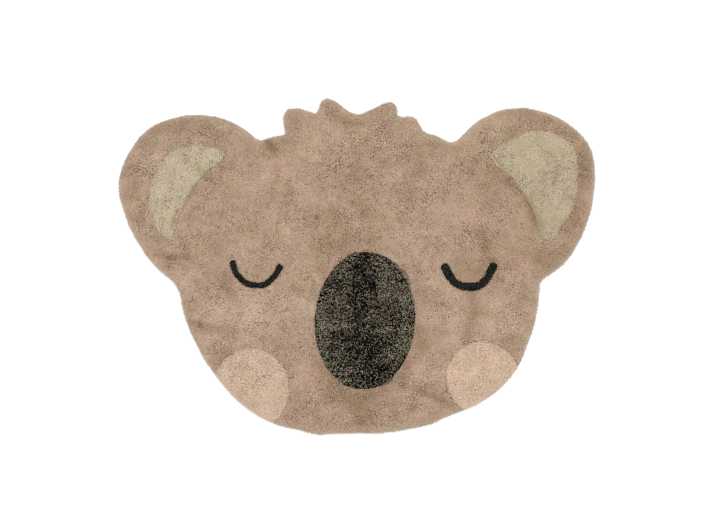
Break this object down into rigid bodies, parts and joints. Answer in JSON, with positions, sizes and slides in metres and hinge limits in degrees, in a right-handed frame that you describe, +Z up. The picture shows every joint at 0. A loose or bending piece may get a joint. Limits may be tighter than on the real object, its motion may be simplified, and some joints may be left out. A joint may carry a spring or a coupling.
{
  "type": "koala shaped tufted kids rug",
  "caption": "Flat tufted cut pile rug in the shape of a koala head, with inner ears, nose, closed eyes and cheeks in other yarns, set in carved pile.",
  "frame": {"origin": "middle of the rug's box, on the floor that it lies on", "axes": "+X from the left ear to the right ear as seen in the picture, +Y from the chin to the hair, +Z up out of the pile"},
  "size_m": [1.2, 0.847, 0.0139],
  "materials": {
    "brown_pile": "matt cut pile of a warm brown yarn on a cotton ground cloth",
    "pale_pile": "matt cut pile of a pale green grey yarn",
    "nose_pile": "matt cut pile of black yarn mixed with beige and grey ends",
    "eye_pile": "matt cut pile of a near black yarn",
    "cheek_pile": "matt cut pile of a pale blush yarn"
  },
  "bodies": {
    "root": {"pile_field": "brown_pile", "inner_ear_left": "pale_pile", "inner_ear_right": "pale_pile", "nose": "nose_pile", "eye_left": "eye_pile", "eye_right": "eye_pile", "cheek_left": "cheek_pile", "cheek_right": "cheek_pile"}
  },
  "joints": []
}
